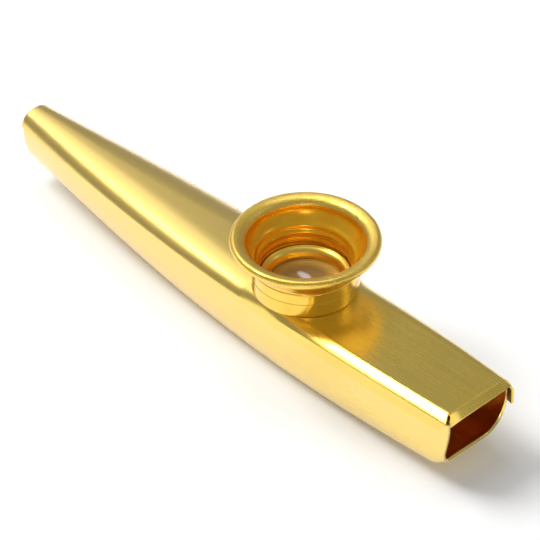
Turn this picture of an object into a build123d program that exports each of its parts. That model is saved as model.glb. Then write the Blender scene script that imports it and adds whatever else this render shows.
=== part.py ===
"""Metal kazoo: a pressed body in two shells, with a screw turret that holds the film.

Units are millimetres. +X runs along the body to the mouth, +Z is up, and the origin lies
on the table under the middle of the body.
"""
import os
from math import cos, radians, sin, tan

from build123d import *

# Body, set by the two pressed shells
body_length = 120.7
body_width = 19.7
body_depth = 16.5
sheet = 0.5
seam_gap = 0.08
rest_flat_depth = 0.14

# Shape of the body at five even places from the far end to the mouth
half_width_shares = (0.375, 0.75, 0.965, 1.0, 0.89)
keel_depth_shares = (0.705, 0.92, 1.0, 0.935, 0.808)
top_flat_shares = (0.04, 0.08, 0.30, 0.60, 0.63)
bilge_width_shares = (0.95, 0.77, 0.53, 0.34, 0.20)
bilge_height_shares = (0.93, 0.87, 0.78, 0.64, 0.40)
shoulder_stop_angles = (28.0, 27.0, 22.0, 6.0, 0.0)
section_count = 7

# Lid: rounded shoulders and side skirts, the deeper one on the +Y side
skirt_straight = 0.25
near_straight_mouth = 1.6
skirt_depth_far = 2.9
near_skirt_depth_mouth = 3.75
deep_skirt_depth_mouth = 6.1
lid_setback = 0.3

# Lip bent down over the mouth
lip_drop = 1.75
lip_lean = 30.0
lip_width = 13.4
lip_bend_radius = 0.8
lip_curl_radius = 1.7
lip_curl_angle = 65.0
notch_length = 2.4
notch_shoulder = 1.4

# Trough: its rim tucks in under the shoulders, and it necks in towards the mouth
tuck_angle = 40.0
neck_length = 4.0
neck_keel_rise = 2.8
neck_side_inset = 0.15
mouth_skew = 3.5
mouth_easing_share = 0.5
neck_middle_share = 0.33

# Turret, common sizes
turret_x = 15.45
film_hole_radius = 6.3
thread_bore_radius = 9.4
thread_play = 0.25
touch_gap = 0.03

# Collar: rivet neck, membrane ledge and wall
neck_wall = 0.5
rivet_gap = 0.05
rivet_flare = 0.9
collar_height = 5.4
collar_wall = 0.55
collar_bead = 0.2
seat_margin = 0.35

# Film
film_thickness = 0.06
film_margin = 0.5

# Pressing ring
ring_bore_radius = 6.67
ring_flange_radius = 8.6
ring_flange_thickness = 0.35
ring_neck_wall = 0.63
ring_roll_radius = 8.45
ring_roll_height = 0.95
ring_edge_height = 0.3
ring_edge_round = 0.3
ring_play = 0.06

# Cup
cup_floor = 0.45
cup_wall = 0.55
shoulder_gap = 0.3
shoulder_radius = 10.4
rim_radius = 13.9
rim_inner_radius = 10.9
rim_crown_share = 0.75
rim_height = 10.9
rim_edge_drop = 0.9
rim_inner_drop = 1.2
rim_under_drop = 1.75
rim_under_radius = 12.5
funnel_foot_rise = 0.3

# Overrun of every cut
overrun = 1.0

far_end = -body_length / 2
mouth = body_length / 2
lip_run = lip_drop * tan(radians(lip_lean))
bend_x = mouth - lip_run
sheet_end = bend_x - lip_bend_radius * tan(radians((90 - lip_lean) / 2))


def along(shares, x):
    """Value of a smooth curve through evenly spaced shares, at a place along the body."""
    steps = len(shares) - 1
    place = (x - far_end) / body_length * steps
    total = 0
    for i, share in enumerate(shares):
        weight = share
        for j in range(steps + 1):
            if j != i:
                weight *= (place - j) / (i - j)
        total += weight
    return total


def between(start, end, x):
    """Value on a straight line from the far end's value to the mouth's."""
    return start + (end - start) * (x - far_end) / body_length


def places(start, end):
    """Even places along the body for the sections of a loft."""
    return [start + (end - start) * i / (section_count - 1) for i in range(section_count)]


def cross_plane(x):
    """Plane across the body, with its first axis along +Y and its second along +Z."""
    return Plane(origin=(x, 0, 0), x_dir=(0, 1, 0), z_dir=(1, 0, 0))


def half_width(x):
    return body_width / 2 * along(half_width_shares, x)


def near_skirt_depth(x):
    return between(skirt_depth_far, near_skirt_depth_mouth, x)


def deep_shoulder(x):
    """Height of the rounder shoulder, on the +Y side."""
    return near_skirt_depth(x) - skirt_straight


def near_shoulder(x):
    """Height of the flatter shoulder, on the -Y side."""
    return near_skirt_depth(x) - between(skirt_straight, near_straight_mouth, x)


def shoulder_arc(x, height, inset, angle):
    """Arched shoulder towards +Y, set in from the lid's outside, over an angle of its quarter."""
    flat = half_width(x) * along(top_flat_shares, x)
    stop = along(shoulder_stop_angles, x)
    reach = (half_width(x) - flat - inset) / cos(radians(stop))
    rise = (height - inset) / (1 - sin(radians(stop)))
    centre = (flat, body_depth - inset - rise)
    return EllipticalCenterArc(centre, reach, rise, stop, arc_size=angle * (1 - stop / 90))


def closed_face(edges):
    """Planar face inside a closed run of edges."""
    return make_face(Curve() + edges)


def mirrored(edge):
    return mirror(edge, about=Plane.YZ)


def lid_section(x, inset, extra_depth):
    """Section of the lid filled in between its skirts, set in from its outside."""
    near = mirrored(shoulder_arc(x, near_shoulder(x), inset, 90))
    deep = shoulder_arc(x, deep_shoulder(x), inset, 90)
    near_foot = near @ 0
    deep_foot = deep @ 0
    near_low = (near_foot.X, body_depth - near_skirt_depth(x) - extra_depth)
    deep_low = (deep_foot.X, body_depth - between(skirt_depth_far, deep_skirt_depth_mouth, x) - extra_depth)
    edges = [
        Line(near_low, near_foot),
        near,
        Line(near @ 1, deep @ 1),
        deep,
        Line(deep_foot, deep_low),
        Line(deep_low, near_low),
    ]
    return cross_plane(x) * closed_face(edges)


def trough_path(x, inset, rise, narrowing, easing_share):
    """Edges of the trough's section from its -Y rim under the keel to its +Y rim."""
    outside = sheet + seam_gap + narrowing
    near_tuck = mirrored(shoulder_arc(x, near_shoulder(x), outside + inset, tuck_angle))
    deep_tuck = shoulder_arc(x, deep_shoulder(x), outside + inset, tuck_angle)
    side = half_width(x) - outside
    keel_z = body_depth - (body_depth + rest_flat_depth) * along(keel_depth_shares, x) + rise
    depth = body_depth - deep_shoulder(x) - keel_z
    bilges = []
    for share in (0, easing_share):
        width = side * (along(bilge_width_shares, x) + share)
        height = depth * (along(bilge_height_shares, x) + share)
        centre = (side - width, keel_z + height)
        bilges.append(EllipticalCenterArc(centre, width - inset, height - inset, 270))
    near_bilge = mirrored(bilges[0])
    deep_bilge = bilges[1]
    return [
        near_tuck,
        Line(near_tuck @ 0, near_bilge @ 1),
        near_bilge,
        Line(near_bilge @ 0, deep_bilge @ 0),
        deep_bilge,
        Line(deep_bilge @ 1, deep_tuck @ 0),
        deep_tuck,
    ]


def trough_section(x, necking=0):
    """Section of the trough's sheet, with a share of the neck's changes made to it."""
    changes = (neck_keel_rise * necking, neck_side_inset * necking, mouth_easing_share * necking)
    outer = trough_path(x, 0, *changes)
    inner = trough_path(x, sheet, *changes)
    caps = [
        Line(outer[0] @ 1, inner[0] @ 1),
        Line(outer[-1] @ 1, inner[-1] @ 1),
    ]
    return cross_plane(x) * closed_face(outer + inner + caps)


def disc(radius, low, high):
    """Round plate about the turret's axis, between two heights."""
    return Pos(turret_x, 0, low) * Cylinder(
        radius, high - low, align=(Align.CENTER, Align.CENTER, Align.MIN)
    )


def turned(*edges):
    """Solid of revolution about the turret's axis from edges of radius and height."""
    profile = Plane.XZ * make_face(Curve() + list(edges))
    return Pos(turret_x, 0, 0) * revolve(profile, Axis.Z)


def run(*points):
    """Straight edges through points in turn."""
    return [Line(a, b) for a, b in zip(points, points[1:])]


# Heights of the turret's pieces
lid_under = body_depth - sheet
ledge_z = body_depth + touch_gap + sheet
film_top = ledge_z + film_thickness
ring_low = film_top + touch_gap
floor_low = ring_low + ring_flange_thickness + ring_play
floor_high = floor_low + cup_floor
collar_top = body_depth + collar_height
shoulder_z = collar_top + shoulder_gap
rim_top = body_depth + rim_height
rivet_outer = film_hole_radius + neck_wall
seat_radius = thread_bore_radius + collar_wall - seat_margin


def make_upper_shell():
    """Pressed lid: lofted sheet, pressed seat for the turret, lip and relief notch."""
    stations = places(far_end + lid_setback, sheet_end)
    block = loft([lid_section(x, 0, 0) for x in stations])
    space = loft([lid_section(x, sheet, overrun) for x in stations])
    foot_z = body_depth - deep_shoulder(turret_x)
    seat = disc(seat_radius, foot_z, body_depth)
    seat_space = disc(seat_radius - sheet, foot_z, lid_under)
    lid = block + seat - space - seat_space
    lid = lid + mouth_lip() + deep_corner()
    lid = lid - disc(rivet_outer + rivet_gap, foot_z, body_depth + overrun)
    return lid - relief_notch()


def mouth_lip():
    """Lip over the mouth, bent down from the lid, with its -Y end curled round the corner."""
    lean = radians(lip_lean)
    low = body_depth - lip_drop
    edge = [(mouth, low), (mouth - sheet / cos(lean), low)]
    inner_top = (bend_x + sheet * tan(lean) - sheet / cos(lean), lid_under)
    outer_top = (bend_x + sheet * tan(lean), lid_under)
    back = sheet_end - overrun
    side = [(back, body_depth), (bend_x, body_depth), *edge, inner_top, (back, lid_under)]
    curl_y = lip_curl_radius - lip_width / 2
    face = Plane.XZ * make_face(Polyline(side, close=True))
    plate = Pos(0, lip_width / 2, 0) * extrude(face, lip_width / 2 - curl_y, dir=(0, -1, 0))
    bend = plate.edges().filter_by(Axis.Y).sort_by_distance((bend_x, 0, body_depth))[0]
    plate = fillet(bend, lip_bend_radius)
    curl_face = Plane.XZ * make_face(Polyline([*edge, inner_top, outer_top], close=True))
    axis = Axis((mouth - lip_curl_radius, 0, 0), (0, 0, -1))
    curl = Pos(0, curl_y, 0) * revolve(curl_face, axis, lip_curl_angle)
    trim = extrude(lid_section(sheet_end, 0, 0), lip_width / 2, both=True)
    return plate + curl & trim


def deep_corner():
    """Shoulder and skirt of the +Y side, carried on past the bend to the mouth."""
    corner = extrude(lid_section(sheet_end, 0, 0), mouth - sheet_end, dir=(1, 0, 0))
    space = extrude(lid_section(sheet_end, sheet, overrun), mouth - sheet_end, dir=(1, 0, 0))
    keep = Pos(bend_x, lip_width / 2, 0) * Box(
        body_length, body_width, body_depth * 2, align=(Align.CENTER, Align.MIN, Align.CENTER)
    )
    return corner - space & keep


def relief_notch():
    """Wedge cut from the -Y skirt's front corner so that the lip can bend down."""
    low = body_depth - near_skirt_depth(bend_x)
    wedge = Plane.XZ * make_face(
        Polyline(
            (bend_x - notch_length, low),
            (bend_x, body_depth - notch_shoulder),
            (bend_x + overrun, body_depth - notch_shoulder),
            (bend_x + overrun, low - overrun),
            (bend_x - notch_length, low - overrun),
            close=True,
        )
    )
    return Pos(0, -lip_width / 2, 0) * extrude(wedge, body_width, dir=(0, -1, 0))


def make_lower_shell():
    """Pressed trough: lofted sheet, necked in and trimmed at the mouth, with a flat to rest on."""
    neck_x = mouth - neck_length
    trough = loft([trough_section(x) for x in places(far_end, neck_x)])
    neck = loft(
        [
            trough_section(neck_x),
            trough_section(neck_x + neck_length / 2, neck_middle_share),
            trough_section(mouth, 1),
        ]
    )
    trim = Pos(mouth, -body_width / 2, 0) * Rot(0, 0, mouth_skew) * Box(
        body_width, body_length, body_depth * 2, align=(Align.MIN, Align.CENTER, Align.CENTER)
    )
    table = Box(body_length * 2, body_width * 2, body_depth, align=(Align.CENTER, Align.CENTER, Align.MAX))
    return trough + neck - trim - table


def make_turret_collar():
    """Socket riveted through the lid, with the film's ledge and the threaded wall."""
    wall_outer = thread_bore_radius + collar_wall
    bead_outer = wall_outer + collar_bead
    seat_z = body_depth + touch_gap
    clinch_z = lid_under - touch_gap
    return turned(
        *run(
            (film_hole_radius, clinch_z - neck_wall),
            (rivet_outer + rivet_flare, clinch_z - neck_wall),
            (rivet_outer + rivet_flare, clinch_z),
            (rivet_outer, clinch_z),
            (rivet_outer, seat_z),
            (wall_outer, seat_z),
            (wall_outer, collar_top - collar_wall),
            (bead_outer, collar_top - collar_wall / 2),
            (bead_outer, collar_top),
            (thread_bore_radius, collar_top),
            (thread_bore_radius, ledge_z),
            (film_hole_radius, ledge_z),
            (film_hole_radius, clinch_z - neck_wall),
        )
    )


def make_membrane():
    """Film disc on the collar's ledge."""
    return disc(thread_bore_radius - film_margin, ledge_z, film_top)


def make_pressing_ring():
    """Eyelet clinched loosely round the edge of the cup's floor."""
    neck = ring_bore_radius + ring_neck_wall
    roll_low = floor_high + ring_play
    roll_top = roll_low + ring_roll_height
    edge_z = ring_low + ring_flange_thickness + ring_edge_height
    return turned(
        *run(
            (ring_roll_radius - ring_edge_round * 2, roll_top),
            (ring_bore_radius, edge_z),
            (ring_bore_radius, ring_low),
            (ring_flange_radius, ring_low),
            (ring_flange_radius, ring_low + ring_flange_thickness),
            (neck, ring_low + ring_flange_thickness),
            (neck, roll_low),
            (ring_roll_radius, roll_low),
            (ring_roll_radius, roll_top - ring_edge_round),
        ),
        ThreePointArc(
            (ring_roll_radius, roll_top - ring_edge_round),
            (ring_roll_radius - ring_edge_round, roll_top + ring_edge_round / 2),
            (ring_roll_radius - ring_edge_round * 2, roll_top),
        ),
    )


def make_turret_cup():
    """Funnel with a rolled rim, a threaded wall and a floor round the pressing ring."""
    wall_outer = thread_bore_radius - thread_play
    wall_inner = wall_outer - cup_wall
    floor_hole = ring_bore_radius + ring_neck_wall + ring_play
    edge = (rim_radius, rim_top - rim_edge_drop)
    under = (rim_under_radius, rim_top - rim_under_drop)
    inner = (rim_inner_radius, rim_top - rim_inner_drop)
    crown = (rim_inner_radius + (rim_radius - rim_inner_radius) * rim_crown_share, rim_top)
    funnel_foot = (wall_inner, shoulder_z - funnel_foot_rise)
    return turned(
        *run(
            under,
            (shoulder_radius, shoulder_z + funnel_foot_rise),
            (shoulder_radius, shoulder_z),
            (wall_outer, shoulder_z),
            (wall_outer, floor_low),
            (floor_hole, floor_low),
            (floor_hole, floor_high),
            (wall_inner, floor_high),
            funnel_foot,
        ),
        Spline(funnel_foot, inner, tangents=((0, 1), (0, 1))),
        Spline(inner, crown, tangents=((0, 1), (1, 0))),
        Spline(crown, edge, tangents=((1, 0), (0, -1))),
        Spline(edge, under, tangents=((0, -1), (-1, 0))),
    )


pieces = {
    "upper_shell": make_upper_shell(),
    "lower_shell": make_lower_shell(),
    "turret_collar": make_turret_collar(),
    "membrane": make_membrane(),
    "pressing_ring": make_pressing_ring(),
    "turret_cup": make_turret_cup(),
}

os.makedirs("parts", exist_ok=True)
for name, piece in pieces.items():
    export_step(piece, f"parts/{name}.step")
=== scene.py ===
"""Looks of a gold metal kazoo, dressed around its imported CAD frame.

Sizes are in millimetres, turned into metres by MM. +X runs to the mouth and +Z is up.
"""

import logging
import math
from collections.abc import Callable, Iterable, Sequence
from dataclasses import dataclass
from enum import Enum

import bmesh
import bpy
from mathutils import Matrix, Vector


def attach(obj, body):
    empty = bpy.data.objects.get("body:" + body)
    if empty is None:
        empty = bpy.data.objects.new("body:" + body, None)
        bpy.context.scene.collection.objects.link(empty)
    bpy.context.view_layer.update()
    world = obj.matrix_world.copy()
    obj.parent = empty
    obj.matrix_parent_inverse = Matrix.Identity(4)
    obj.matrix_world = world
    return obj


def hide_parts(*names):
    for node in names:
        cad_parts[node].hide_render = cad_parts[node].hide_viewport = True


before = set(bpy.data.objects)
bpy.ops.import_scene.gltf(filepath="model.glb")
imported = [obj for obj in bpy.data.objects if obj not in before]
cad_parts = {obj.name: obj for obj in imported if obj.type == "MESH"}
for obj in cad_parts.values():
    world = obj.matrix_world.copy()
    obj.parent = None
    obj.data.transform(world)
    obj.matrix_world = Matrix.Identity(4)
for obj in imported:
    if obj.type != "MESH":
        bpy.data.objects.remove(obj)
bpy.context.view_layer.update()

log = logging.getLogger("kazoo")

MM = 0.001
MERGE_GAP = 0.002
BEVEL_ANGLE = 55.0
SHEET_SHADE_ANGLE = 50.0
TURNED_SHADE_ANGLE = 40.0
SHEET_LEVELS = 2
ABOVE_ALL = 60.0

Piece = bpy.types.Object
Finish = bpy.types.Material
Pair = tuple[float, float]
Point = tuple[float, float, float]
Colour = tuple[float, float, float, float]
Profile = list[Pair]
Outline = tuple[Pair, ...]
Series = tuple[float, ...]
Arc = tuple[Pair, Pair, float, float, int]


class Body(Enum):
    """CAD bodies that the pieces ride on."""

    SHELLS = "body"
    RING = "ring"
    CUP = "cup"


class Slot(Enum):
    """Material slots of the record."""

    SHELL = "shell_gold"
    TURRET = "turret_gold"
    FILM = "film"


def mix(start: float, end: float, share: float) -> float:
    """Value a share of the way from start to end."""
    return start + (end - start) * share


def smooth(low: float, high: float, value: float) -> float:
    """Smooth step from 0 at low to 1 at high."""
    share = min(1.0, max(0.0, (value - low) / (high - low)))
    return share * share * (3 - 2 * share)


def ellipse(centre: Pair, radii: Pair, start: float, end: float, steps: int) -> Profile:
    """Points on an elliptical arc.

    Args:
        centre: Middle of the ellipse.
        radii: Its two half axes.
        start: First angle in degrees.
        end: Last angle in degrees.
        steps: Number of spans.

    Returns:
        The points in turn, with both ends.
    """
    angles = [math.radians(mix(start, end, i / steps)) for i in range(steps + 1)]
    (x, y), (wide, high) = centre, radii
    return [(x + wide * math.cos(angle), y + high * math.sin(angle)) for angle in angles]


def straight(start: Pair, end: Pair, steps: int) -> Profile:
    """Points inside a straight run, without its two ends."""
    shares = [i / steps for i in range(1, steps)]
    return [(mix(start[0], end[0], share), mix(start[1], end[1], share)) for share in shares]


class Bench:
    """One mesh, shaped in edit mode with operators and then finished with modifiers."""

    def __init__(self, name: str, finishes: Sequence[Finish]) -> None:
        """Start an empty mesh in edit mode.

        Args:
            name: Name of the piece.
            finishes: Materials in the order of their indices.
        """
        bpy.ops.object.select_all(action="DESELECT")
        bpy.ops.mesh.primitive_plane_add(size=MM)
        self.piece = bpy.context.object
        self.piece.name = name
        self.piece.data.name = name
        for finish in finishes:
            self.piece.data.materials.append(finish)
        bpy.ops.object.mode_set(mode="EDIT")
        bpy.ops.mesh.delete(type="VERT")

    def draw(self, points: Sequence[Point]) -> range:
        """Draw a chain of edges by extruding one vertex from point to point.

        Args:
            points: Places in millimetres.

        Returns:
            The indices of the chain's vertices.
        """
        first = len(self.edit().verts)
        places = [Vector(p) * MM for p in points]
        bpy.ops.mesh.primitive_plane_add(size=MM, location=places[0])
        bpy.ops.mesh.merge(type="CENTER")
        for here, there in zip(places, places[1:]):
            bpy.ops.mesh.extrude_vertices_move(TRANSFORM_OT_translate={"value": there - here})
        return range(first, first + len(places))

    def edit(self) -> bmesh.types.BMesh:
        """Mesh under edit, with fresh indices."""
        mesh = bmesh.from_edit_mesh(self.piece.data)
        mesh.verts.ensure_lookup_table()
        mesh.verts.index_update()
        return mesh

    def pick(self, wanted: Callable[[bmesh.types.BMVert], bool]) -> None:
        """Select the wanted vertices and what they span.

        Args:
            wanted: Rule on one vertex.
        """
        bpy.ops.mesh.select_mode(type="VERT")
        bpy.ops.mesh.select_all(action="DESELECT")
        mesh = self.edit()
        for vert in mesh.verts:
            vert.select = wanted(vert)
        mesh.select_flush_mode()
        bmesh.update_edit_mesh(self.piece.data)

    def loft(self, chains: Sequence[Sequence[Point]]) -> range:
        """Draw chains and bridge each to the next.

        Args:
            chains: Places in millimetres, as many in each.

        Returns:
            The indices of the last chain's vertices.
        """
        drawn = [self.draw(chain) for chain in chains]
        for one, other in zip(drawn, drawn[1:]):
            self.bridge(one, other)
        return drawn[-1]

    def bridge(self, one: Iterable[int], other: Iterable[int]) -> None:
        """Bridge two chains given by their vertices' indices."""
        ends = {*one, *other}
        self.pick(lambda vert: vert.index in ends)
        bpy.ops.mesh.bridge_edge_loops()

    def spin(self, axis_x: float, steps: int) -> None:
        """Spin the drawn profile a full turn about an upright axis."""
        bpy.ops.mesh.select_all(action="SELECT")
        bpy.ops.mesh.spin(steps=steps, angle=math.tau, center=(axis_x * MM, 0, 0), axis=(0, 0, 1))
        self.merge()

    def merge(self) -> None:
        """Merge doubles and turn the faces outwards."""
        bpy.ops.mesh.select_all(action="SELECT")
        bpy.ops.mesh.remove_doubles(threshold=MERGE_GAP * MM)
        bpy.ops.mesh.select_all(action="SELECT")
        bpy.ops.mesh.normals_make_consistent(inside=False)

    def reshape(self, move: Callable[[Vector], Vector]) -> None:
        """Move every vertex by a rule.

        Args:
            move: Rule from the old place to the new one, in millimetres.
        """
        mesh = self.edit()
        for vert in mesh.verts:
            vert.co = move(vert.co / MM) * MM
        bmesh.update_edit_mesh(self.piece.data)

    def leave(self) -> Piece:
        """Leave edit mode and return the piece."""
        bpy.ops.object.mode_set(mode="OBJECT")
        return self.piece

    def skin(self) -> Piece:
        """Merge, leave edit mode and subdivide the skin of a sheet."""
        self.merge()
        piece = self.leave()
        apply_modifier(piece, "SUBSURF", levels=SHEET_LEVELS, render_levels=SHEET_LEVELS)
        return piece


def apply_modifier(piece: Piece, kind: str, **settings: object) -> None:
    """Add a modifier with its settings and apply it.

    Args:
        piece: Mesh to change.
        kind: Blender's type of the modifier.
        settings: Its properties.
    """
    modifier = piece.modifiers.new(kind.lower(), kind)
    for key, value in settings.items():
        setattr(modifier, key, value)
    bpy.context.view_layer.objects.active = piece
    bpy.ops.object.modifier_apply(modifier=modifier.name)


def thicken(piece: Piece, sheet: float, edge_round: float) -> None:
    """Give an outer skin its sheet's thickness inwards, with rounded edges.

    Args:
        piece: Skin that becomes a sheet; its inner face takes the second material.
        sheet: Thickness in millimetres.
        edge_round: Width of the rounding in millimetres.
    """
    apply_modifier(
        piece,
        "SOLIDIFY",
        thickness=sheet * MM,
        offset=-1,
        use_even_offset=True,
        material_offset=1,
    )
    apply_modifier(
        piece,
        "BEVEL",
        width=edge_round * MM,
        segments=2,
        limit_method="ANGLE",
        angle_limit=math.radians(BEVEL_ANGLE),
    )
    smooth_shade(piece, SHEET_SHADE_ANGLE)


def smooth_shade(piece: Piece, angle: float) -> None:
    """Shade a piece smooth up to an edge angle.

    Args:
        piece: Mesh to shade.
        angle: Edge angle in degrees.
    """
    bpy.ops.object.select_all(action="DESELECT")
    piece.select_set(True)
    bpy.context.view_layer.objects.active = piece
    bpy.ops.object.shade_smooth_by_angle(angle=math.radians(angle))


def seat(piece: Piece, body: Body, node: str) -> None:
    """Put a piece in place of its CAD node and let it ride.

    Args:
        piece: Finished mesh.
        body: CAD body that carries it.
        node: CAD node that it stands for.
    """
    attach(piece, body.value)
    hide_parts(node)
    log.info("%s: %d faces on %s", piece.name, len(piece.data.polygons), body.value)


def operator(kind: str, swapped: bool = False) -> Callable[["Signal", "Signal | float"], "Signal"]:
    """Make a method that adds one Math node.

    Args:
        kind: Blender's name of the operation.
        swapped: Whether the other value comes first.

    Returns:
        The method, for Signal.
    """

    def combine(self: "Signal", other: "Signal | float") -> "Signal":
        """Result of one operation."""
        values = (other, self) if swapped else (self, other)
        return self.graph.node("ShaderNodeMath", {"operation": kind}, dict(enumerate(values)))

    return combine


class Signal:
    """Shader socket with arithmetic: an expression on values adds Math nodes."""

    def __init__(self, graph: "Graph", socket: bpy.types.NodeSocket) -> None:
        """Wrap one output socket of a graph."""
        self.graph = graph
        self.socket = socket

    __add__ = __radd__ = operator("ADD")
    __sub__ = operator("SUBTRACT")
    __rsub__ = operator("SUBTRACT", swapped=True)
    __mul__ = __rmul__ = operator("MULTIPLY")
    __truediv__ = operator("DIVIDE")
    __pow__ = operator("POWER")

    def band(self, low: float, high: float) -> "Signal":
        """Smooth step from 0 at low to 1 at high."""
        settings = {"interpolation_type": "SMOOTHSTEP"}
        inputs = {"Value": self, "From Min": low, "From Max": high}
        return self.graph.node("ShaderNodeMapRange", settings, inputs)


class Graph:
    """Node tree of one material or world."""

    def __init__(self, tree: bpy.types.NodeTree) -> None:
        """Start from an empty tree."""
        tree.nodes.clear()
        self.tree = tree

    def node(
        self,
        kind: str,
        settings: dict[str, object],
        inputs: dict[str | int, object],
        output: str | int = 0,
    ) -> Signal:
        """Add any node.

        Args:
            kind: Blender's type of the node.
            settings: Properties set first.
            inputs: Values or signals by socket name or index.
            output: Name or index of the output to return.

        Returns:
            The chosen output, or the node's first socket where it has no output.
        """
        node = self.tree.nodes.new(kind)
        for key, value in settings.items():
            setattr(node, key, value)
        for key, value in inputs.items():
            socket = node.inputs[key]
            if isinstance(value, Signal):
                self.tree.links.new(value.socket, socket)
            else:
                socket.default_value = value
        return Signal(self, node.outputs[output] if node.outputs else node.inputs[0])

    def place(self) -> Signal:
        """Object coordinates."""
        return self.node("ShaderNodeTexCoord", {}, {}, "Object")

    def axes(self, vector: Signal) -> tuple[Signal, Signal, Signal]:
        """The three parts of a vector."""
        first = self.node("ShaderNodeSeparateXYZ", {}, {0: vector})
        outputs = first.socket.node.outputs
        return tuple(Signal(self, outputs[i]) for i in range(3))

    def noise(self, scale: Point, detail: float, rough: float) -> Signal:
        """Noise on stretched object coordinates, with scale in waves per metre."""
        spread = self.node("ShaderNodeMapping", {}, {"Vector": self.place(), "Scale": scale})
        sockets = {"Vector": spread, "Scale": 1.0, "Detail": detail, "Roughness": rough}
        return self.node("ShaderNodeTexNoise", {}, sockets)

    def blend(self, factor: Signal | float, first: object, second: object) -> Signal:
        """Mix of two colours."""
        inputs = {"Factor": factor, 6: first, 7: second}
        return self.node("ShaderNodeMix", {"data_type": "RGBA"}, inputs, 2)

    def bump(self, height: Signal, strength: float, distance: float) -> Signal:
        """Normal from a height, with distance in millimetres."""
        inputs = {"Height": height, "Strength": strength, "Distance": distance * MM}
        return self.node("ShaderNodeBump", {}, inputs)

    def surface(self, inputs: dict[str, object]) -> None:
        """End the tree in a Principled surface."""
        shader = self.node("ShaderNodeBsdfPrincipled", {}, inputs)
        self.node("ShaderNodeOutputMaterial", {}, {"Surface": shader})


def new_graph(name: str) -> tuple[Finish, Graph]:
    """Material with an empty node tree."""
    material = bpy.data.materials.new(name)
    material.use_nodes = True
    return material, Graph(material.node_tree)


@dataclass(frozen=True)
class ShellGold:
    """Satin gold sheet, brushed lengthwise, with fine specks and a painted shade along the seam.

    The seam's line on each side is given by its heights at the far end and at the mouth.
    """

    name: str
    half_length: float
    near_seam: Pair | None = None
    deep_seam: Pair | None = None
    pale: Colour = (0.96, 0.7, 0.125, 1)
    deep: Colour = (0.93, 0.655, 0.095, 1)
    # Painted sheen: a paler, less saturated gold towards the far end, for how the light washes out
    # that half.
    pale_far: Colour = (0.95, 0.69, 0.19, 1)
    speck: Colour = (1.0, 0.86, 0.5, 1)
    # Painted shade for the crease where the trough runs in under the lid's skirt.
    seam_shade: Colour = (0.3, 0.13, 0.02, 1)
    roughness: float = 0.3
    polish: float = 0.05
    polished_from: Pair = (26.0, 52.0)
    rough_far: float = 0.02
    far_until: Pair = (-8.0, 24.0)
    far_share: float = 0.85
    cloud_waves: Point = (55, 120, 120)
    cloud_band: Pair = (0.35, 0.7)
    cloud_share: float = 0.6
    cloud_rough: float = 0.06
    brush_waves: Point = (70, 5200, 5200)
    brush_share: float = 0.4
    brush_rough: float = 0.2
    brush_height: float = 0.007
    bump_strength: float = 0.5
    speck_waves: Point = (1900, 1900, 1900)
    speck_band: Pair = (0.74, 0.82)
    speck_share: float = 0.6
    speck_height: float = 0.02
    seam_rise: Pair = (-0.4, -0.05)
    seam_fall: Pair = (0.1, 0.4)
    seam_end: Pair = (40.0, 50.0)
    seam_share: float = 0.85
    seam_rough: float = 0.25
    side_change: float = 0.5
    coat: float = 0.9
    coat_roughness: float = 0.22

    def seam(self, graph: Graph) -> Signal:
        """Narrow band of painted shade just under the lid's skirt on both sides.

        Args:
            graph: Graph of the material.

        Returns:
            1 on the seam and 0 away from it.
        """
        x, y, z = graph.axes(graph.place())
        along = x / (2 * self.half_length * MM) + 0.5
        lines = []
        for far, mouth in (self.near_seam, self.deep_seam):
            gap = (z - along * ((mouth - far) * MM) - far * MM) / MM
            lines.append(gap.band(*self.seam_rise) * (1 - gap.band(*self.seam_fall)))
        other = y.band(-self.side_change * MM, self.side_change * MM)
        ended = x.band(*[place * MM for place in self.seam_end])
        return (lines[0] * (1 - other) + lines[1] * other) * (1 - ended)

    def make(self) -> Finish:
        """Build the material.

        Returns:
            The material.
        """
        material, graph = new_graph(self.name)
        x = graph.axes(graph.place())[0]
        brush = graph.noise(self.brush_waves, detail=3, rough=0.6)
        cloud = graph.noise(self.cloud_waves, detail=2, rough=0.5)
        dots = graph.noise(self.speck_waves, detail=1, rough=0.4).band(*self.speck_band)
        far = 1 - x.band(*[place * MM for place in self.far_until])
        polished = x.band(*[place * MM for place in self.polished_from])
        uneven = self.cloud_share * cloud.band(*self.cloud_band) + self.brush_share * brush
        colour = graph.blend(uneven, self.pale, self.deep)
        # Painted sheen: blend the far half towards the paler gold.
        colour = graph.blend(self.far_share * far, colour, self.pale_far)
        colour = graph.blend(self.speck_share * dots, colour, self.speck)
        rough = self.roughness + self.rough_far * far - self.polish * polished
        rough = rough + self.cloud_rough * (cloud - 0.5) + self.brush_rough * (brush - 0.5)
        # Painted shade: the trough darkens in a thin band just under the lid's skirt.
        if self.near_seam:
            seam = self.seam(graph)
            colour = graph.blend(self.seam_share * seam, colour, self.seam_shade)
            rough = rough + self.seam_rough * seam
        height = brush + dots * (self.speck_height / self.brush_height)
        inputs = {
            "Base Color": colour,
            "Metallic": 1.0,
            "Roughness": rough,
            "Normal": graph.bump(height, self.bump_strength, self.brush_height),
            "Coat Weight": self.coat,
            "Coat Roughness": self.coat_roughness,
        }
        graph.surface(inputs)
        return material


@dataclass(frozen=True)
class InsideGold:
    """Inner face of the body's sheet, a dull red-brown gold painted for the light the gold walls
    throw on each other inside.
    """

    name: str
    colour: Colour = (0.95, 0.27, 0.02, 1)
    stain: Colour = (0.8, 0.19, 0.012, 1)
    roughness: float = 0.4
    metal: float = 0.5
    cloud_waves: Point = (90, 260, 260)
    cloud_band: Pair = (0.4, 0.65)
    cloud_rough: float = 0.15

    def make(self) -> Finish:
        """Build the material.

        Returns:
            The material.
        """
        material, graph = new_graph(self.name)
        cloud = graph.noise(self.cloud_waves, detail=3, rough=0.6)
        inputs = {
            "Base Color": graph.blend(cloud.band(*self.cloud_band), self.colour, self.stain),
            "Metallic": self.metal,
            "Roughness": self.roughness + self.cloud_rough * (cloud - 0.5),
        }
        graph.surface(inputs)
        return material


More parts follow.
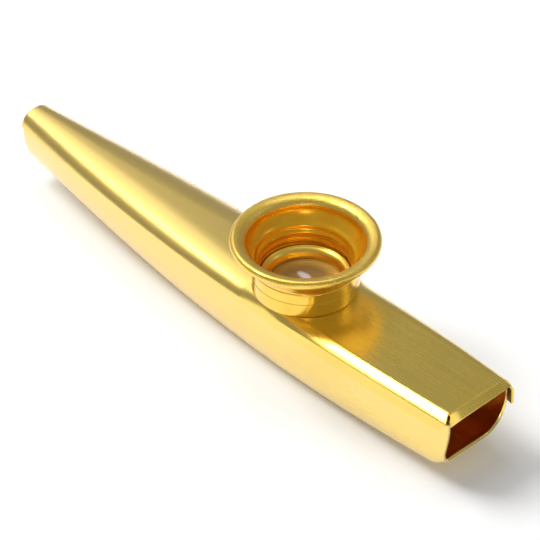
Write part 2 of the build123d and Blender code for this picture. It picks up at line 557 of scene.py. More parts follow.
@dataclass(frozen=True)
class TurretGold:
    """Polished deep gold of the turret, satin and grainy above a height."""

    name: str
    satin_from: float
    pale: Colour = (0.97, 0.66, 0.1, 1)
    deep: Colour = (0.94, 0.58, 0.07, 1)
    polish: float = 0.16
    satin: float = 0.34
    satin_edge: float = 0.3
    grain_waves: Point = (2600, 2600, 2600)
    grain_band: Pair = (0.46, 0.66)
    grain_share: float = 0.6
    grain_height: float = 0.13
    grain_pale: Colour = (1.0, 0.78, 0.22, 1)
    bump_strength: float = 0.6
    cloud_waves: Point = (240, 240, 240)
    cloud_band: Pair = (0.35, 0.7)
    cloud_rough: float = 0.05
    coat: float = 0.6
    coat_roughness: float = 0.2
    metal: float = 1.0

    def make(self) -> Finish:
        """Build the material.

        Returns:
            The material.
        """
        material, graph = new_graph(self.name)
        upright = graph.axes(graph.place())[2]
        edges = (self.satin_from - self.satin_edge, self.satin_from + self.satin_edge)
        worn = upright.band(*[edge * MM for edge in edges])
        grain = graph.noise(self.grain_waves, detail=2, rough=0.6)
        cloud = graph.noise(self.cloud_waves, detail=2, rough=0.5)
        colour = graph.blend(cloud.band(*self.cloud_band), self.pale, self.deep)
        grains = self.grain_share * worn * grain.band(*self.grain_band)
        rough = self.polish + (self.satin - self.polish) * worn
        inputs = {
            "Base Color": graph.blend(grains, colour, self.grain_pale),
            "Metallic": self.metal,
            "Roughness": rough + self.cloud_rough * (cloud - 0.5),
            "Normal": graph.bump(grain * worn, self.bump_strength, self.grain_height),
            "Coat Weight": self.coat,
            "Coat Roughness": self.coat_roughness,
        }
        graph.surface(inputs)
        return material


@dataclass(frozen=True)
class FilmSheet:
    """Thin tan film, browner in its middle, with faint wrinkles and a pale glare patch."""

    name: str
    axis_x: float
    rim_tan: Colour = (0.42, 0.23, 0.045, 1)
    middle: Colour = (0.22, 0.135, 0.045, 1)
    patch: Colour = (0.62, 0.62, 0.68, 1)
    patch_place: Pair = (14.1, 1.0)
    patch_size: Pair = (2.0, 1.0)
    patch_band: Pair = (0.2, 1.0)
    patch_ragged: float = 0.8
    patch_share: float = 0.8
    tan_from: Pair = (3.6, 5.6)
    tan_ragged: float = 1.5
    cloud_waves: Point = (420, 420, 420)
    roughness: float = 0.2
    cloud_rough: float = 0.1
    wrinkle_strength: float = 0.4
    wrinkle_height: float = 0.1
    coat: float = 0.15

    def make(self) -> Finish:
        """Build the material.

        Returns:
            The material.
        """
        material, graph = new_graph(self.name)
        x, y, _ = graph.axes(graph.place())
        radius = ((x - self.axis_x * MM) ** 2 + y**2) ** 0.5
        cloud = graph.noise(self.cloud_waves, detail=3, rough=0.6)
        across = ((x - self.patch_place[0] * MM) / (self.patch_size[0] * MM)) ** 2
        reach = across + ((y - self.patch_place[1] * MM) / (self.patch_size[1] * MM)) ** 2
        glare = 1 - (reach + self.patch_ragged * (cloud - 0.5)).band(*self.patch_band)
        outer = (radius / MM + self.tan_ragged * (cloud - 0.5)).band(*self.tan_from)
        colour = graph.blend(outer, self.middle, self.rim_tan)
        inputs = {
            "Base Color": graph.blend(self.patch_share * glare, colour, self.patch),
            "Roughness": self.roughness + self.cloud_rough * (cloud - 0.5),
            "Normal": graph.bump(cloud, self.wrinkle_strength, self.wrinkle_height),
            "Coat Weight": self.coat,
        }
        graph.surface(inputs)
        return material


@dataclass
class BodyForm:
    """Sizes that the lid and the trough share, with their changes along the body."""

    length: float = 120.7
    width: float = 19.7
    depth: float = 16.5
    sheet: float = 0.5
    seam_gap: float = 0.08
    rest_flat: float = 0.14
    turret_x: float = 15.45
    half_width_shares: Series = (0.375, 0.75, 0.965, 1.0, 0.89)
    keel_depth_shares: Series = (0.705, 0.92, 1.0, 0.935, 0.808)
    top_flat_shares: Series = (0.04, 0.08, 0.30, 0.60, 0.63)
    bilge_width_shares: Series = (0.95, 0.77, 0.53, 0.34, 0.20)
    bilge_height_shares: Series = (0.93, 0.87, 0.78, 0.64, 0.40)
    shoulder_stop_angles: Series = (18.0, 18.0, 16.0, 6.0, 0.0)
    skirt_far: float = 2.9
    near_skirt_mouth: float = 3.75
    deep_skirt_mouth: float = 6.1
    skirt_straight: float = 0.25
    near_straight_mouth: float = 1.6
    arc_step: float = 6.0
    least_arc_steps: int = 3

    @property
    def mouth(self) -> float:
        """Place of the mouth along X."""
        return self.length / 2

    def along(self, shares: Sequence[float], x: float) -> float:
        """Smooth curve through evenly spaced shares.

        Args:
            shares: Values from the far end to the mouth.
            x: Place along the body.

        Returns:
            The value there.
        """
        steps = len(shares) - 1
        place = (x / self.length + 0.5) * steps
        total = 0.0
        for i, share in enumerate(shares):
            for j in range(steps + 1):
                if j != i:
                    share *= (place - j) / (i - j)
            total += share
        return total

    def between(self, far: float, mouth: float, x: float) -> float:
        """Straight change from the far end to the mouth."""
        return mix(far, mouth, x / self.length + 0.5)

    def half_width(self, x: float) -> float:
        """Half of the lid's width."""
        return self.width / 2 * self.along(self.half_width_shares, x)

    def near_skirt(self, x: float) -> float:
        """Depth of the lid's skirt on the near side."""
        return self.between(self.skirt_far, self.near_skirt_mouth, x)

    def deep_skirt(self, x: float) -> float:
        """Depth of the lid's skirt on the other side."""
        return self.between(self.skirt_far, self.deep_skirt_mouth, x)

    def near_shoulder(self, x: float) -> float:
        """Height of the flatter shoulder, on the near side."""
        return self.near_skirt(x) - self.between(self.skirt_straight, self.near_straight_mouth, x)

    def deep_shoulder(self, x: float) -> float:
        """Height of the rounder shoulder, on the other side."""
        return self.near_skirt(x) - self.skirt_straight

    def top_flat(self, x: float) -> float:
        """Half of the flat on the lid's top."""
        return self.half_width(x) * self.along(self.top_flat_shares, x)

    def shoulder(
        self,
        x: float,
        height: float,
        flat: float,
        inset: float = 0.0,
        angle: float = 90.0,
        power: float = 2.0,
    ) -> Profile:
        """Arched shoulder towards +Y, from its foot upwards.

        Args:
            x: Place along the body.
            height: Height of the shoulder.
            flat: Half of the flat that it meets.
            inset: Distance in from the lid's outside.
            angle: Share of the quarter that is drawn, in degrees.
            power: 2 for an ellipse, less for a flatter facet and more for a fuller shoulder.

        Returns:
            Points across the body, with both ends.
        """
        stop = max(0.0, self.along(self.shoulder_stop_angles, x))
        bend = 2 / power
        reach = (self.half_width(x) - flat - inset) / math.cos(math.radians(stop)) ** bend
        rise = (height - inset) / (1 - math.sin(math.radians(stop)) ** bend)
        low = self.depth - inset - rise
        steps = max(self.least_arc_steps, round(angle / self.arc_step))
        profile = []
        for i in range(steps + 1):
            turn = math.radians(stop + angle * (1 - stop / 90) * i / steps)
            across = flat + reach * max(0.0, math.cos(turn)) ** bend
            profile.append((across, low + rise * math.sin(turn) ** bend))
        return profile


@dataclass
class Lid:
    """Upper shell: sheet pressed flat round the turret and bent down at the mouth."""

    form: BodyForm
    outside: Finish
    inside: Finish
    seat_radius: float = 8.5
    seat_length: float = 8.7
    seat_edge: float = 0.45
    hole_radius: float = 6.95
    lip_drop: float = 1.75
    lip_lean: float = 30.0
    lip_near: float = 6.85
    lip_tilt: float = 0.022
    bend_radius: float = 0.35
    bend_steps: int = 4
    fold_from: float = 18.0
    fold_to: float = 75.0
    fold_end: float = 0.2
    fold_short: float = 0.1
    curl_from: float = 5.2
    curl_back: float = 0.35
    curl_out: float = 0.35
    curl_down: float = 0.6
    corner_ahead: float = 1.15
    corner_back: float = 1.0
    corner_drop: float = 1.15
    corner_reach: float = 7.0
    corner_top: float = 0.1
    corner_ramp: float = 0.8
    far_power: float = 2.4
    facet_power: float = 1.14
    facet_width: float = 2.0
    facet_drop: float = 1.05
    facet_from: Pair = (2.0, 30.0)
    edge_round: float = 0.18
    rows_far: Series = (-60.05, -58.5, -54, -48, -40, -32, -24, -16, -9, -3, 1, 3.6)
    rows_mouth: Series = (27.5, 32, 38, 45, 50, 54, 56.5)
    row_gap: float = 0.9
    near_spans: int = 3
    deep_spans: int = 4
    top_spans: int = 8
    lip_spans: int = 3
    hole_depth: float = 1.0

    @property
    def front(self) -> float:
        """Place along X where the bend starts."""
        face = self.form.mouth - self.lip_drop * math.tan(math.radians(self.lip_lean))
        return face - self.bend_radius * math.tan(math.radians((90 - self.lip_lean) / 2))

    def flat(self, x: float) -> float:
        """Half of the flat top, wider where the turret's seat is pressed.

        Args:
            x: Place along the body.

        Returns:
            Half of the width.
        """
        base = self.form.top_flat(x)
        reach = 1 - ((x - self.form.turret_x) / self.seat_length) ** 2
        if reach <= 0:
            return base
        seat_half = self.seat_radius * math.sqrt(reach)
        return max(base, min(seat_half, self.form.half_width(x) - self.seat_edge))

    def corner(self, x: float, y: float, z: float) -> float:
        """Draw the near front corner forward and cut its skirt back.

        Args:
            x: Place along the body.
            y: Place across it.
            z: Height.

        Returns:
            The new place along X.
        """
        start = self.front - self.corner_reach
        if y > -self.lip_near or x <= start:
            return x
        form = self.form
        top = form.depth - self.corner_top
        foot = form.depth - self.corner_drop
        low = form.depth - form.near_skirt(self.front)
        if z > foot:
            ahead = self.corner_ahead * (top - z) / (top - foot)
        else:
            ahead = mix(-self.corner_back, self.corner_ahead, (z - low) / (foot - low))
        ahead *= smooth(self.lip_near, self.lip_near + self.corner_ramp, -y)
        return x + ahead * (x - start) / self.corner_reach

    def section(self, x: float) -> list[Point]:
        """Outer face of the lid across the body.

        Args:
            x: Place along the body.

        Returns:
            Points from the near skirt to the deep one.
        """
        form = self.form
        flat = self.flat(x)
        faceted = smooth(*self.facet_from, x)
        power = mix(self.far_power, self.facet_power, faceted)
        near_flat = max(flat, mix(flat, form.half_width(x) - self.facet_width, faceted))
        drop = mix(form.near_shoulder(x), self.facet_drop, faceted)
        near = form.shoulder(x, drop, near_flat, power=power)
        deep = form.shoulder(x, form.deep_shoulder(x), flat)
        near_low = (near[0][0], form.depth - form.near_skirt(x))
        deep_low = (deep[0][0], form.depth - form.deep_skirt(x))
        near = [near_low, *straight(near_low, near[0], self.near_spans), *near]
        deep = [deep_low, *straight(deep_low, deep[0], self.deep_spans), *deep]
        left = [(-y, z) for y, z in near]
        outline = [*left, *straight(left[-1], deep[-1], self.top_spans), *reversed(deep)]
        return [(self.corner(x, y, z), y, z) for y, z in outline]

    def rows(self) -> list[float]:
        """Places of the sections along X."""
        low = self.form.turret_x - self.seat_length
        count = round(2 * self.seat_length / self.row_gap)
        seat_rows = [low + i * self.row_gap for i in range(count + 1)]
        return [*self.rows_far, *seat_rows, *self.rows_mouth, self.front - self.row_gap, self.front]

    def lip(self, edge: Sequence[Point]) -> list[list[Point]]:
        """Chains of the lip, which runs on round the other side's corner.

        Args:
            edge: Front edge that the lip is bent from, from its near end to the deep skirt.

        Returns:
            One chain for each step of the bend and of the face under it.
        """
        form = self.form
        turn = (90 - self.lip_lean) / self.bend_steps
        chord = 2 * self.bend_radius * math.sin(math.radians(turn / 2))
        ahead, down = 0.0, 0.0
        path = []
        for i in range(self.bend_steps):
            angle = math.radians(turn * (i + 0.5))
            ahead += chord * math.cos(angle)
            down += chord * math.sin(angle)
            path.append((ahead, down))
        foot = (form.mouth - self.front, self.lip_drop)
        path += [*straight(path[-1], foot, self.lip_spans), foot]
        chains = []
        for ahead, down in path:
            share = down / self.lip_drop
            chain = []
            for (x, y, z), (_, y_next, z_next) in zip(edge, [*edge[1:], edge[-1]]):
                lean = math.degrees(math.atan2(z - z_next, y_next - y)) if y_next != y else 90.0
                side = smooth(self.fold_from, self.fold_to, lean) if y > 0 else 0.0
                drop = down * mix(1.0, self.fold_end, side) * (1 - self.lip_tilt * y)
                tip = math.radians(max(0.0, lean)) if y > 0 else 0.0
                curl = max(0.0, -y - self.curl_from) * share
                chain.append(
                    (
                        x + ahead * (1 - self.fold_short * side) - self.curl_back * curl * curl,
                        y - drop * math.sin(tip) - self.curl_out * curl,
                        z - drop * math.cos(tip) - self.curl_down * curl * curl,
                    )
                )
            chains.append(chain)
        return chains

    def build(self) -> Piece:
        """Model the lid.

        Returns:
            The piece.
        """
        bench = Bench("lid", [self.outside, self.inside])
        front = bench.loft([self.section(x) for x in self.rows()])
        edge = self.section(self.front)
        start = next(i for i, point in enumerate(edge) if point[1] > -self.lip_near)
        last = front[start:]
        for chain in self.lip(edge[start:]):
            drawn = bench.draw(chain)
            bench.bridge(last, drawn)
            last = drawn
        piece = bench.skin()
        bpy.ops.object.mode_set(mode="EDIT")
        bench.pick(lambda vert: self.in_hole(vert.co / MM))
        bpy.ops.mesh.delete(type="VERT")
        bench.leave()
        thicken(piece, self.form.sheet, self.edge_round)
        return piece

    def in_hole(self, place: Vector) -> bool:
        """Whether a point of the top lies in the turret's hole."""
        inside = (place.x - self.form.turret_x) ** 2 + place.y**2 < self.hole_radius**2
        return inside and place.z > self.form.depth - self.hole_depth


@dataclass
class Trough:
    """Lower shell: boat-shaped sheet with its rim tucked under the lid and a neck at the mouth."""

    form: BodyForm
    outside: Finish
    inside: Finish
    tuck_angle: float = 40.0
    neck_length: float = 4.0
    neck_rise: float = 2.8
    neck_inset: float = 0.15
    mouth_easing: float = 0.5
    mouth_skew: float = 3.5
    near_slant: float = 1.06
    near_sag: float = 0.85
    near_until: Pair = (-6.0, 3.0)
    low_from: float = 1.0
    front_length: float = 12.0
    edge_round: float = 0.18
    bilge_spans: int = 14
    side_spans: int = 4
    keel_spans: int = 6
    neck_shares: Series = (0.0, 0.25, 0.5, 0.75, 1.0)
    neck_power: float = 1.6
    rows_far: Series = (-60.35, -58.5, -54, -48, -40, -32, -24, -16, -8, 0, 8, 16, 24)
    rows_mouth: Series = (32, 39, 45, 50, 54)

    def section(self, x: float, necking: float) -> list[Point]:
        """Outer face of the trough across the body.

        Args:
            x: Place along the body.
            necking: Share of the mouth's neck that is drawn in.

        Returns:
            Points from the near rim to the other one.
        """
        form = self.form
        outside = form.sheet + form.seam_gap + self.neck_inset * necking
        flat = form.top_flat(x)
        side = form.half_width(x) - outside
        keel = form.depth - (form.depth + form.rest_flat) * form.along(form.keel_depth_shares, x)
        keel = max(0.0, keel) + self.neck_rise * necking
        room = form.depth - form.deep_shoulder(x) - keel
        sides = ((form.near_shoulder(x), 0.0), (form.deep_shoulder(x), self.mouth_easing * necking))
        halves = []
        for shoulder, easing in sides:
            tuck = form.shoulder(x, shoulder, flat, outside, self.tuck_angle)[::-1]
            wide = side * (form.along(form.bilge_width_shares, x) + easing)
            high = room * (form.along(form.bilge_height_shares, x) + easing)
            bilge = ellipse((side - wide, keel + high), (wide, high), 0, -90, self.bilge_spans)
            halves.append([*tuck, *straight(tuck[-1], bilge[0], self.side_spans), *bilge])
        near = [(-y, z) for y, z in halves[0]]
        outline = [*near, *straight(near[-1], halves[1][-1], self.keel_spans), *reversed(halves[1])]
        front = smooth(form.mouth - self.front_length, form.mouth, x)
        skew = math.tan(math.radians(self.mouth_skew)) * front
        chain = []
        for y, z in outline:
            low = smooth(form.depth - form.near_skirt(x), keel + self.low_from, z)
            low *= 1 - smooth(*self.near_until, y)
            back = skew * (y + form.width / 2) + self.near_slant * front * low
            chain.append((x - back, y, z - self.near_sag * necking * low))
        return chain

    def build(self) -> Piece:
        """Model the trough.

        Returns:
            The piece.
        """
        neck = self.form.mouth - self.neck_length
        chains = [self.section(x, 0) for x in (*self.rows_far, *self.rows_mouth)]
        for share in self.neck_shares:
            chains.append(self.section(neck + self.neck_length * share, share**self.neck_power))
        bench = Bench("trough", [self.outside, self.inside])
        bench.loft(chains)
        piece = bench.skin()
        thicken(piece, self.form.sheet, self.edge_round)
        return piece


@dataclass
class Turret:
    """Collar, film, pressing ring and cup on one upright axis."""

    form: BodyForm
    gold: Finish
    ring_gold: Finish
    rim_gold: Finish
    cup_inside: Finish
    film_tan: Finish
    steps: int = 160
    touch_gap: float = 0.03
    bore: float = 9.4
    hole: float = 6.3
    rivet: Outline = ((0.0, -0.4), (0.1, -0.5), (1.3, -0.45), (1.4, -0.35), (1.4, 0.0), (0.5, 0.0))
    collar_floor: float = 0.5
    collar_wall: float = 0.55
    collar_top: float = 21.9
    collar_foot: Pair = (0.25, 0.2)
    scribe: float = 19.45
    scribe_cut: Outline = ((0.0, -0.1), (-0.06, -0.03), (-0.06, 0.03), (0.0, 0.1))
    bead: Pair = (0.3, 0.28)
    bead_inset: float = 0.1
    bead_foot: float = 0.62
    bead_from: float = -62.0
    lead_cut: float = 0.12
    ledge_cut: float = 0.1
    film_low: float = 17.03
    film_high: float = 17.09
    film_radius: float = 8.9
    film_spans: int = 8
    ring_foot: Outline = (
        *((6.67, 17.15), (6.7, 17.12), (8.57, 17.12), (8.6, 17.15), (8.6, 17.44)),
        *((8.57, 17.47), (7.3, 17.47), (7.3, 18.04), (8.3, 18.04)),
    )
    ring_roll: Arc = ((8.13, 18.62), (0.32, 0.5), -60, 130, 14)
    ring_slope: Outline = ((7.92, 19.0), (6.78, 17.86))
    ring_slope_spans: int = 8
    ring_bulge: float = 0.13
    ring_edge: Outline = ((6.71, 17.77), (6.67, 17.66))
    ripple: float = 0.03
    ripple_count: int = 34
    overtone: float = 0.6
    overtone_rate: float = 1.7
    overtone_turn: float = 2.0
    ripple_reach: float = 6.85
    ripple_low: float = 17.5
    cup_floor: Outline = ((7.4, 17.53), (7.36, 17.57), (7.36, 17.94), (7.4, 17.98))
    cup_bend: Arc = ((8.35, 18.23), (0.25, 0.25), -90, 0, 4)
    cup_wall: Outline = ((8.6, 18.23), (8.6, 21.5))
    wall_spans: int = 28
    funnel_top: Pair = (10.85, 25.75)
    funnel_spans: int = 30
    crown: Arc = ((13.05, 25.75), (2.2, 1.64), 174, 94, 14)
    rim_roll: Arc = ((13.05, 26.55), (0.85, 0.85), 96, -55, 16)
    rim_under: Outline = ((13.25, 25.72), (12.9, 25.66), (12.66, 25.8), (12.52, 25.72))
    funnel_foot: Pair = (10.45, 22.5)
    cup_shoulder: Outline = (
        *((10.42, 22.45), (10.4, 22.35), (10.38, 22.24)),
        *((10.3, 22.2), (9.25, 22.2), (9.15, 22.1)),
    )
    cup_foot: Outline = ((9.15, 17.7), (8.95, 17.53))
    inside_facing: float = 0.3
    inside_top: float = 26.3
    thread_pitch: float = 1.5
    thread_height: float = 0.2
    thread_between: Pair = (8.5, 10.2)
    thread_inner: float = 8.9
    thread_inner_high: float = 22.3
    thread_start: Pair = (18.6, 19.3)
    thread_end_inner: Pair = (22.9, 23.9)
    thread_end_outer: Pair = (21.3, 21.9)

    def turned(
        self,
        name: str,
        outline: Profile,
        finishes: Sequence[Finish],
        closed: bool = True,
    ) -> Bench:
        """Spin an outline of radius and height about the turret's axis.

        Args:
            name: Name of the piece.
            outline: Points of radius and height.
            finishes: Materials of the piece.
            closed: Whether the outline returns to its first point.

        Returns:
            The bench, still in edit mode.
        """
        bench = Bench(name, finishes)
        points = [*outline, outline[0]] if closed else outline
        bench.draw([(self.form.turret_x + r, 0, z) for r, z in points])
        bench.spin(self.form.turret_x, self.steps)
        return bench

    def finished(self, bench: Bench) -> Piece:
        """Leave edit mode and shade a turned piece smooth."""
        piece = bench.leave()
        smooth_shade(piece, TURNED_SHADE_ANGLE)
        return piece

    def collar(self) -> Piece:
        """Riveted socket with the film's ledge and a scribed line round its wall.

        Returns:
            The piece.
        """
        wall = self.bore + self.collar_wall
        low = self.form.depth + self.touch_gap
        ledge = low + self.collar_floor
        under = self.form.depth - self.form.sheet - self.touch_gap
        foot = low + self.collar_foot[1]
        groove = [(wall + r, self.scribe + z) for r, z in self.scribe_cut]
        bead = (wall - self.bead_inset, self.collar_top - self.bead[1])
        outline = [
            *[(self.hole + r, under + z) for r, z in self.rivet],
            (self.hole + self.rivet[-1][0], low),
            *ellipse((wall - self.collar_foot[0], foot), self.collar_foot, -90, 0, 4),
            *straight((wall, foot), groove[0], 4),
            *groove,
            *straight(groove[-1], (wall, self.collar_top - self.bead_foot), 3),
            *ellipse(bead, self.bead, self.bead_from, 90, 10),
            (self.bore + self.lead_cut, self.collar_top),
            (self.bore, self.collar_top - self.lead_cut),
            *straight((self.bore, self.collar_top), (self.bore, ledge), 5),
            (self.bore, ledge),
            (self.hole + self.ledge_cut, ledge),
            (self.hole, ledge - self.ledge_cut),
        ]
        return self.finished(self.turned("collar", outline, [self.gold]))

    def film(self) -> Piece:
        """Film disc on the ledge."""
        spans = self.film_spans
        radii = [self.film_radius * i / spans for i in range(spans + 1)]
        outline = [*[(r, self.film_low) for r in radii], *[(r, self.film_high) for r in radii[::-1]]]
        return self.finished(self.turned("film", outline, [self.film_tan], closed=False))

    def ring(self) -> Piece:
        """Pressing ring with its rolled outer edge and a slightly uneven inner edge.

        Returns:
            The piece.
        """
        spans = self.ring_slope_spans
        outline = [
            *self.ring_foot,
            *ellipse(*self.ring_roll),
            *[self.slope(i / spans) for i in range(1, spans + 1)],
            *self.ring_edge,
        ]
        bench = self.turned("pressing_ring_skin", outline, [self.ring_gold])
        bench.reshape(self.rippled)
        return self.finished(bench)

    def slope(self, share: float) -> Pair:
        """Point on the ring's bulging slope, a share of the way down it."""
        start, end = self.ring_slope
        bulge = self.ring_bulge * math.sin(math.pi * share)
        return mix(start[0], end[0], share) - bulge, mix(start[1], end[1], share) + bulge

    def rippled(self, place: Vector) -> Vector:
        """Make the ring's inner edge uneven.

        Args:
            place: Place before.

        Returns:
            The new place.
        """
        flat = Vector((place.x - self.form.turret_x, place.y, 0))
        if flat.length > self.ripple_reach or place.z < self.ripple_low:
            return place
        turn = math.atan2(flat.y, flat.x)
        second = round(self.overtone_rate * self.ripple_count) * turn + self.overtone_turn
        wave = math.sin(self.ripple_count * turn) + self.overtone * math.sin(second)
        return place + Vector((0, 0, self.ripple * wave))

    def cup(self) -> Piece:
        """Funnel with a rolled rim and a rolled thread in its wall.

        Returns:
            The piece.
        """
        spans = self.funnel_spans
        outline = [
            *self.cup_floor,
            *ellipse(*self.cup_bend),
            *straight(*self.cup_wall, self.wall_spans),
            *[self.funnel(i / spans) for i in range(spans + 1)],
            *ellipse(*self.crown),
            *ellipse(*self.rim_roll),
            *self.rim_under,
            *straight(self.rim_under[-1], self.funnel_foot, 7),
            *self.cup_shoulder,
            *straight(self.cup_shoulder[-1], self.cup_foot[0], self.wall_spans),
            *self.cup_foot,
        ]
        bench = self.turned("cup", outline, [self.rim_gold, self.cup_inside])
        bench.reshape(self.threaded)
        piece = self.finished(bench)
        # Faces turned in towards the axis take the deeper orange, a painted reflection of the gold
        # walls lighting each other.
        axis = Vector((self.form.turret_x * MM, 0, 0))
        for face in piece.data.polygons:
            inward = face.normal.dot((axis - face.center).to_2d().to_3d().normalized())
            inner = inward > self.inside_facing and face.center.z < self.inside_top * MM
            face.material_index = 1 if inner else 0
        return piece

    def funnel(self, share: float) -> Pair:
        """Point on the funnel's inside, a share of the way up it."""
        radius, low = self.cup_wall[1]
        wide, high = self.funnel_top
        return mix(radius, wide, smooth(0, 1, share)), mix(low, high, share)

    def threaded(self, place: Vector) -> Vector:
        """Roll the thread into the cup's wall.

        Args:
            place: Place before.

        Returns:
            The new place.
        """
        flat = Vector((place.x - self.form.turret_x, place.y, 0))
        near, far = self.thread_between
        if not near < flat.length < far:
            return place
        inner = flat.length < self.thread_inner or place.z > self.thread_inner_high
        end = self.thread_end_inner if inner else self.thread_end_outer
        fade = smooth(*self.thread_start, place.z) * (1 - smooth(*end, place.z))
        turn = math.atan2(flat.y, flat.x) / math.tau
        wave = 0.5 + 0.5 * math.cos(math.tau * (place.z / self.thread_pitch - turn))
        return place - flat.normalized() * self.thread_height * fade * wave


@dataclass(frozen=True)
class Lamp:
    """Area lamp that faces a point, with its size in millimetres and its power in watts."""

    name: str
    place: Point
    faces: Point
    size: Pair
    power: float
    round_shape: bool = True
    in_gloss: bool = True
    in_diffuse: bool = True

    def hang(self) -> None:
        """Add the lamp to the scene."""
        data = bpy.data.lights.new(self.name, "AREA")
        data.shape = "ELLIPSE" if self.round_shape else "RECTANGLE"
        data.size, data.size_y = (side * MM for side in self.size)
        data.energy = self.power
        lamp = bpy.data.objects.new(self.name, data)
        away = Vector(self.place) - Vector(self.faces)
        lamp.location = Vector(self.place) * MM
        lamp.rotation_euler = away.to_track_quat("Z", "Y").to_euler()
        lamp.visible_glossy = self.in_gloss
        lamp.visible_diffuse = self.in_diffuse
        bpy.context.scene.collection.objects.link(lamp)


@dataclass
class Studio:
    """Camera, soft light, pale floor and surroundings."""

    aim: Point = (15.45, 0.0, 26.5)
    aim_pixel: Pair = (305.63, 240.45)
    frame_pixels: float = 540.0
    focal_pixels: float = 4000.0
    distance: float = 724.4
    elevation: float = 38.41
    yaw: float = 43.19
    roll: float = -0.2
    sensor: float = 36.0
    lamps: tuple[Lamp, ...] = (
        Lamp("key", (-696, -280, 930), (0, 0, 10), (640, 640), 11.8, in_gloss=False),
        Lamp("spark", (-690, -300, 1297), (0, 0, 10), (420, 240), 6.0, in_diffuse=False),
        Lamp("softbox", (-438, 85, 401), (0, 0, 10), (390, 300), 0.4, round_shape=False),
        Lamp("overhead", (-90, 100, 610), (15, 0, 20), (300, 300), 0.5),
        Lamp("front_fill", (470, -430, 195), (15, 0, 25), (200, 200), 0.25, in_diffuse=False),
        Lamp("rim_spark", (285, 350, 430), (15, 0, 25), (150, 150), 0.06, in_diffuse=False),
        Lamp("mouth_fill", (330, -105, 45), (58, 0, 10), (120, 120), 0.5, in_gloss=False),
    )
    floor_size: float = 6.0
    floor_white: Colour = (0.9, 0.9, 0.9, 1)
    floor_lift: float = 0.04
    sky_white: Colour = (1, 1, 1, 1)
    sky_grey: float = 0.32

    def camera(self) -> None:
        """Place the camera at the photograph's angle."""
        el, yaw, roll = (math.radians(a) for a in (self.elevation, self.yaw, self.roll))
        back = Vector((math.cos(yaw) * math.cos(el), -math.sin(yaw) * math.cos(el), math.sin(el)))
        right = Vector((0, 0, 1)).cross(back).normalized()
        up = back.cross(right)
        right, up = (
            right * math.cos(roll) + up * math.sin(roll),
            up * math.cos(roll) - right * math.sin(roll),
        )
        middle = self.frame_pixels / 2
        across = (self.aim_pixel[0] - middle) * self.distance / self.focal_pixels
        above = (middle - self.aim_pixel[1]) * self.distance / self.focal_pixels
        place = Vector(self.aim) - right * across - up * above + back * self.distance
        data = bpy.data.cameras.new("camera")
        data.sensor_width = self.sensor
        data.lens = self.focal_pixels / self.frame_pixels * self.sensor
        camera = bpy.data.objects.new("camera", data)
        turn = Matrix((right, up, back)).transposed().to_4x4()
        camera.matrix_world = Matrix.Translation(place * MM) @ turn
        bpy.context.scene.collection.objects.link(camera)
        bpy.context.scene.camera = camera

    def floor(self) -> None:
        """Pale floor that stays white round the object and keeps its shadow."""
        bpy.ops.object.select_all(action="DESELECT")
        bpy.ops.mesh.primitive_plane_add(size=self.floor_size)
        floor = bpy.context.object
        floor.name = "floor"
        material, graph = new_graph("floor_white")
        rays = graph.node("ShaderNodeLightPath", {}, {}, "Is Camera Ray")
        seen = rays + graph.node("ShaderNodeLightPath", {}, {}, "Is Glossy Ray")
        lift = graph.node("ShaderNodeEmission", {}, {"Strength": seen.band(0, 1) * self.floor_lift})
        white = graph.node("ShaderNodeBsdfDiffuse", {}, {"Color": self.floor_white})
        both = graph.node("ShaderNodeAddShader", {}, {0: white, 1: lift})
        graph.node("ShaderNodeOutputMaterial", {}, {"Surface": both})
        floor.data.materials.append(material)

    def sky(self) -> None:
        """White for the camera, a soft grey room for everything else."""
        world = bpy.data.worlds.new("studio")
        world.use_nodes = True
        bpy.context.scene.world = world
        graph = Graph(world.node_tree)
        seen = graph.node("ShaderNodeLightPath", {}, {}, "Is Camera Ray")
        strength = self.sky_grey + (1 - self.sky_grey) * seen
        inputs = {"Color": self.sky_white, "Strength": strength}
        light = graph.node("ShaderNodeBackground", {}, inputs)
        graph.node("ShaderNodeOutputWorld", {}, {"Surface": light})

    def build(self) -> None:
        """Set up the whole studio."""
        self.camera()
        for lamp in self.lamps:
            lamp.hang()
        self.floor()
        self.sky()
        bpy.context.scene.view_settings.view_transform = "Standard"


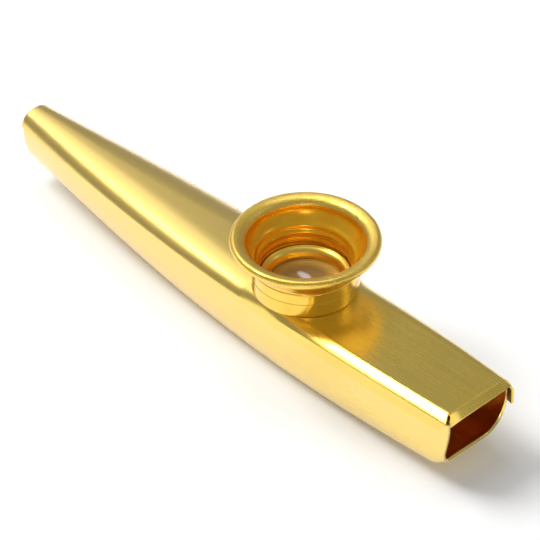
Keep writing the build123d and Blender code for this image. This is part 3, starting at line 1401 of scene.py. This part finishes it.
def main() -> None:
    """Build every sub-assembly in order."""
    logging.basicConfig(level=logging.INFO)
    form = BodyForm()
    ends = (-form.mouth, form.mouth)
    near_seam = tuple(form.depth - form.near_skirt(x) for x in ends)
    deep_seam = tuple(form.depth - form.deep_skirt(x) for x in ends)
    lid_gold = ShellGold("lid_satin", form.mouth).make()
    # Painted sheen: the trough takes a paler, whiter gold than the lid, for the washed-out look of
    # its brightly lit sides.
    trough_gold = ShellGold(
        "trough_satin",
        form.mouth,
        near_seam,
        deep_seam,
        pale=(0.96, 0.72, 0.21, 1),
        deep=(0.94, 0.69, 0.17, 1),
    ).make()
    # Painted reflection: the trough's inner face is red-brown for the light bouncing between the
    # gold walls inside.
    inside = InsideGold("shell_inside").make()
    # Painted shade: the lid's inner face is made dark so the gaps under its skirt and inside the
    # mouth look shaded.
    lid_inside_shade = InsideGold("lid_inside_shade", (0.3, 0.15, 0.02, 1), (0.22, 0.1, 0.012, 1)).make()
    polished = TurretGold("collar_polish", satin_from=ABOVE_ALL).make()
    ring_gold = TurretGold("ring_satin", satin_from=ABOVE_ALL, polish=0.3, coat=0.4).make()
    rim_gold = TurretGold("cup_polish", satin_from=25.9).make()
    # Painted reflection: a deeper orange for the cup's inner faces, for the light the gold walls
    # throw on each other.
    cup_inside = TurretGold(
        "cup_inside_satin",
        satin_from=ABOVE_ALL,
        pale=(1.0, 0.57, 0.02, 1),
        deep=(0.98, 0.47, 0.01, 1),
        polish=0.26,
        coat=0.25,
        metal=0.78,
    ).make()
    film_tan = FilmSheet("film_tan", form.turret_x).make()
    turret = Turret(form, polished, ring_gold, rim_gold, cup_inside, film_tan)
    seat(Lid(form, lid_gold, lid_inside_shade).build(), Body.SHELLS, "upper_shell")
    seat(Trough(form, trough_gold, inside).build(), Body.SHELLS, "lower_shell")
    seat(turret.collar(), Body.SHELLS, "turret_collar")
    seat(turret.film(), Body.SHELLS, "membrane")
    seat(turret.ring(), Body.RING, "pressing_ring")
    seat(turret.cup(), Body.CUP, "turret_cup")
    Studio().build()


if __name__ == "__main__":
    main()
